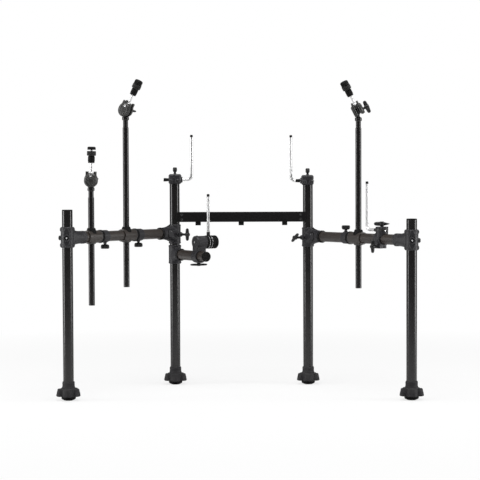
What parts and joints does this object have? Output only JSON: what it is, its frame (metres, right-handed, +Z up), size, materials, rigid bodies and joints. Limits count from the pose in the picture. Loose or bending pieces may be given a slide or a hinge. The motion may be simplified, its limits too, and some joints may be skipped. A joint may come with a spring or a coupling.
{
  "type": "drum rack frame",
  "caption": "Black tubular drum rack with angled side wings on rubber star feet, a flat rear bar, cymbal arms with tilters, bent chrome tom rods and a side rod holder.",
  "frame": {"origin": "middle of the rack's outline, on the floor", "axes": "X to the right seen from the drummer's opening in front, Y to the back bar, Z up"},
  "size_m": [1.3194, 0.554, 1.1637],
  "materials": {
    "gloss_black_tube": "gloss black enamel on steel tube",
    "flat_black_bar": "flat black powder coat",
    "charcoal_clamp": "moulded charcoal plastic with a fine satin texture",
    "black_cast_wing": "satin black casting",
    "foot_rubber": "moulded charcoal rubber",
    "chrome_rod": "bright chrome with black plastic fittings",
    "steel_screw": "zinc plated steel"
  },
  "bodies": {
    "rack_center": {"center_post_left": "gloss_black_tube", "center_post_right": "gloss_black_tube", "cross_bar": "flat_black_bar", "cross_bar_screws": "steel_screw", "cable_clips": "charcoal_clamp", "center_feet": "foot_rubber"},
    "left_wing": {"center_clamp_left": "charcoal_clamp", "side_tube_left": "gloss_black_tube", "outer_clamp_left": "charcoal_clamp", "outer_clamp_screws_left": "steel_screw", "pole_clamps_left": "charcoal_clamp"},
    "right_wing": {"center_clamp_right": "charcoal_clamp", "side_tube_right": "gloss_black_tube", "outer_clamp_right": "charcoal_clamp", "outer_clamp_screws_right": "steel_screw", "pole_clamps_right": "charcoal_clamp"},
    "outer_leg_left": {"outer_post_left": "gloss_black_tube", "outer_foot_left": "foot_rubber"},
    "outer_leg_right": {"outer_post_right": "gloss_black_tube", "outer_foot_right": "foot_rubber"},
    "pole_left_short": {"cymbal_pole_left_short": "gloss_black_tube"},
    "neck_left_short": {"tilter_neck_left_short": "gloss_black_tube"},
    "tilter_left_short": {"tilter_jaws_left_short": "black_cast_wing", "tilt_rod_left_short": "chrome_rod"},
    "tilter_wing_left_short": {"tilter_bolt_left_short": "black_cast_wing"},
    "nut_left_short": {"cymbal_nut_left_short": "charcoal_clamp"},
    "knob_left_short": {"pole_knob_left_short": "charcoal_clamp"},
    "pole_left_tall": {"cymbal_pole_left_tall": "gloss_black_tube"},
    "neck_left_tall": {"tilter_neck_left_tall": "gloss_black_tube"},
    "tilter_left_tall": {"tilter_jaws_left_tall": "black_cast_wing", "tilt_rod_left_tall": "chrome_rod"},
    "tilter_wing_left_tall": {"tilter_bolt_left_tall": "black_cast_wing"},
    "nut_left_tall": {"cymbal_nut_left_tall": "charcoal_clamp"},
    "knob_left_tall": {"pole_knob_left_tall": "charcoal_clamp"},
    "pole_right": {"cymbal_pole_right": "gloss_black_tube"},
    "neck_right": {"tilter_neck_right": "gloss_black_tube"},
    "tilter_right": {"tilter_jaws_right": "black_cast_wing", "tilt_rod_right": "chrome_rod"},
    "tilter_wing_right": {"tilter_bolt_right": "black_cast_wing"},
    "nut_right": {"cymbal_nut_right": "charcoal_clamp"},
    "knob_right": {"pole_knob_right": "charcoal_clamp"},
    "tom_head_left": {"tom_holder_left": "charcoal_clamp"},
    "tom_arm_left": {"tom_rod_left": "chrome_rod"},
    "tom_wing_left": {"tom_holder_bolt_left": "black_cast_wing"},
    "clamp_wing_left": {"center_clamp_bolt_left": "black_cast_wing"},
    "tom_head_right": {"tom_holder_right": "charcoal_clamp"},
    "tom_arm_right": {"tom_rod_right": "chrome_rod"},
    "tom_wing_right": {"tom_holder_bolt_right": "black_cast_wing"},
    "clamp_wing_right": {"center_clamp_bolt_right": "black_cast_wing"},
    "snare_arm": {"snare_clamp": "charcoal_clamp", "snare_tube": "gloss_black_tube"},
    "snare_bracket": {"snare_bracket": "charcoal_clamp"},
    "snare_barrel": {"snare_barrel": "charcoal_clamp"},
    "snare_rod": {"snare_rod": "chrome_rod"},
    "snare_wing": {"snare_bracket_bolt": "black_cast_wing"},
    "rod_holder": {"right_rod_holder": "charcoal_clamp"},
    "holder_rod": {"right_rod": "chrome_rod"},
    "holder_top_wing": {"right_rod_bolt": "black_cast_wing"},
    "holder_clamp_wing": {"right_clamp_bolt": "black_cast_wing"}
  },
  "joints": [
    {"name": "left_wing_swing", "type": "hinge", "parent": "rack_center", "child": "left_wing", "pos_m": [-0.2565, 0.222, 0.5845], "axis": [0, 0, 1], "range_deg": [-20, 20]},
    {"name": "right_wing_swing", "type": "hinge", "parent": "rack_center", "child": "right_wing", "pos_m": [0.2565, 0.222, 0.5715], "axis": [0, 0, 1], "range_deg": [-20, 20]},
    {"name": "left_leg_height", "type": "slide", "parent": "left_wing", "child": "outer_leg_left", "axis": [0, 0, 1], "range_m": [-0.05, 0.1]},
    {"name": "right_leg_height", "type": "slide", "parent": "right_wing", "child": "outer_leg_right", "axis": [0, 0, 1], "range_m": [-0.03, 0.15]},
    {"name": "left_short_pole_height", "type": "slide", "parent": "left_wing", "child": "pole_left_short", "axis": [0, 0, 1], "range_m": [-0.1, 0.18]},
    {"name": "left_short_neck_turn", "type": "hinge", "parent": "pole_left_short", "child": "neck_left_short", "pos_m": [-0.5402, -0.13628, 0.7885], "axis": [0, 0, 1], "continuous": true},
    {"name": "left_short_tilt", "type": "hinge", "parent": "neck_left_short", "child": "tilter_left_short", "pos_m": [-0.5402, -0.13628, 0.7885], "axis": [0, 1, 0], "range_deg": [-49.5, 46.5]},
    {"name": "left_tall_pole_height", "type": "slide", "parent": "left_wing", "child": "pole_left_tall", "axis": [0, 0, 1], "range_m": [-0.34, 0.14]},
    {"name": "left_tall_neck_turn", "type": "hinge", "parent": "pole_left_tall", "child": "neck_left_tall", "pos_m": [-0.42536, 0.00876, 1.0495], "axis": [0, 0, 1], "continuous": true},
    {"name": "left_tall_tilt", "type": "hinge", "parent": "neck_left_tall", "child": "tilter_left_tall", "pos_m": [-0.42536, 0.00876, 1.0495], "axis": [0.4226, 0.9063, 0], "range_deg": [-77, 19]},
    {"name": "right_pole_height", "type": "slide", "parent": "right_wing", "child": "pole_right", "axis": [0, 0, 1], "range_m": [-0.34, 0.14]},
    {"name": "right_neck_turn", "type": "hinge", "parent": "pole_right", "child": "neck_right", "pos_m": [0.43839, -0.0077, 1.042], "axis": [0, 0, 1], "continuous": true},
    {"name": "right_tilt", "type": "hinge", "parent": "neck_right", "child": "tilter_right", "pos_m": [0.43839, -0.0077, 1.042], "axis": [0.8914, -0.1074, 0.4402], "range_deg": [-30, 5]},
    {"name": "left_tom_holder_turn", "type": "hinge", "parent": "rack_center", "child": "tom_head_left", "pos_m": [-0.2565, 0.222, 0.79], "axis": [0, 0, 1], "range_deg": [-60, 60]},
    {"name": "left_tom_rod_tilt", "type": "hinge", "parent": "tom_head_left", "child": "tom_arm_left", "pos_m": [-0.2565, 0.253, 0.79], "axis": [1, 0, 0], "range_deg": [-75, 75]},
    {"name": "right_tom_holder_turn", "type": "hinge", "parent": "rack_center", "child": "tom_head_right", "pos_m": [0.2565, 0.222, 0.7845], "axis": [0, 0, 1], "range_deg": [-60, 60]},
    {"name": "right_tom_rod_tilt", "type": "hinge", "parent": "tom_head_right", "child": "tom_arm_right", "pos_m": [0.2565, 0.253, 0.7845], "axis": [1, 0, 0], "range_deg": [-75, 75]},
    {"name": "snare_arm_swing", "type": "hinge", "parent": "rack_center", "child": "snare_arm", "pos_m": [-0.2565, 0.222, 0.503], "axis": [0, 0, 1], "range_deg": [-20, 15]},
    {"name": "snare_bracket_turn", "type": "hinge", "parent": "snare_arm", "child": "snare_bracket", "pos_m": [-0.15794, 0.06426, 0.503], "axis": [0.5299, -0.848, 0], "range_deg": [-15, 15]},
    {"name": "snare_barrel_turn", "type": "hinge", "parent": "snare_bracket", "child": "snare_barrel", "pos_m": [-0.11977, 0.08811, 0.555], "axis": [0.848, 0.5299, 0], "range_deg": [-20, 20]},
    {"name": "snare_rod_height", "type": "slide", "parent": "snare_barrel", "child": "snare_rod", "axis": [0, 0, 1], "range_m": [0, 0.025]},
    {"name": "rod_holder_turn", "type": "hinge", "parent": "right_wing", "child": "rod_holder", "pos_m": [0.51475, -0.10413, 0.5715], "axis": [0.6208, -0.784, 0], "range_deg": [-45, 45]},
    {"name": "right_rod_turn", "type": "hinge", "parent": "rod_holder", "child": "holder_rod", "pos_m": [0.51475, -0.10413, 0.6045], "axis": [0.6208, -0.784, 0], "range_deg": [-60, 60]},
    {"name": "left_short_tilter_bolt_spin", "type": "hinge", "parent": "tilter_left_short", "child": "tilter_wing_left_short", "pos_m": [-0.5402, -0.10628, 0.7885], "axis": [0, 1, 0], "continuous": true},
    {"name": "left_short_nut_spin", "type": "hinge", "parent": "tilter_left_short", "child": "nut_left_short", "pos_m": [-0.53711, -0.13628, 0.90646], "axis": [0.0262, 0, 0.9997], "continuous": true},
    {"name": "left_short_knob_spin", "type": "hinge", "parent": "left_wing", "child": "knob_left_short", "pos_m": [-0.49613, -0.08061, 0.5485], "axis": [0, 0, -1], "continuous": true},
    {"name": "left_tall_tilter_bolt_spin", "type": "hinge", "parent": "tilter_left_tall", "child": "tilter_wing_left_tall", "pos_m": [-0.41268, 0.03595, 1.0495], "axis": [0.4226, 0.9063, 0], "continuous": true},
    {"name": "left_tall_nut_spin", "type": "hinge", "parent": "tilter_left_tall", "child": "nut_left_tall", "pos_m": [-0.37351, -0.01542, 1.15271], "axis": [0.4394, -0.2049, 0.8746], "continuous": true},
    {"name": "left_tall_knob_spin", "type": "hinge", "parent": "left_wing", "child": "knob_left_tall", "pos_m": [-0.38438, 0.0605, 0.5485], "axis": [0, 0, -1], "continuous": true},
    {"name": "right_tilter_bolt_spin", "type": "hinge", "parent": "tilter_right", "child": "tilter_wing_right", "pos_m": [0.46513, -0.01093, 1.05521], "axis": [0.8914, -0.1074, 0.4402], "continuous": true},
    {"name": "right_nut_spin", "type": "hinge", "parent": "tilter_right", "child": "nut_right", "pos_m": [0.38492, -0.03264, 1.14419], "axis": [-0.4532, -0.2113, 0.866], "continuous": true},
    {"name": "right_knob_spin", "type": "hinge", "parent": "right_wing", "child": "knob_right", "pos_m": [0.39432, 0.04796, 0.6075], "axis": [0, 0, 1], "continuous": true},
    {"name": "left_tom_bolt_spin", "type": "hinge", "parent": "tom_head_left", "child": "tom_wing_left", "pos_m": [-0.2565, 0.253, 0.825], "axis": [0, 0, 1], "continuous": true},
    {"name": "left_clamp_bolt_spin", "type": "hinge", "parent": "left_wing", "child": "clamp_wing_left", "pos_m": [-0.2173, 0.19096, 0.58], "axis": [0.784, -0.6208, 0], "continuous": true},
    {"name": "right_tom_bolt_spin", "type": "hinge", "parent": "tom_head_right", "child": "tom_wing_right", "pos_m": [0.2565, 0.253, 0.8195], "axis": [0, 0, 1], "continuous": true},
    {"name": "right_clamp_bolt_spin", "type": "hinge", "parent": "right_wing", "child": "clamp_wing_right", "pos_m": [0.2173, 0.19096, 0.567], "axis": [-0.784, -0.6208, 0], "continuous": true},
    {"name": "snare_bolt_spin", "type": "hinge", "parent": "snare_bracket", "child": "snare_wing", "pos_m": [-0.15794, 0.06426, 0.472], "axis": [0, 0, -1], "continuous": true},
    {"name": "holder_top_bolt_spin", "type": "hinge", "parent": "rod_holder", "child": "holder_top_wing", "pos_m": [0.51847, -0.10884, 0.6265], "axis": [0, 0, 1], "continuous": true},
    {"name": "holder_clamp_bolt_spin", "type": "hinge", "parent": "rod_holder", "child": "holder_clamp_wing", "pos_m": [0.48731, -0.12586, 0.5455], "axis": [-0.784, -0.6208, 0], "continuous": true}
  ]
}
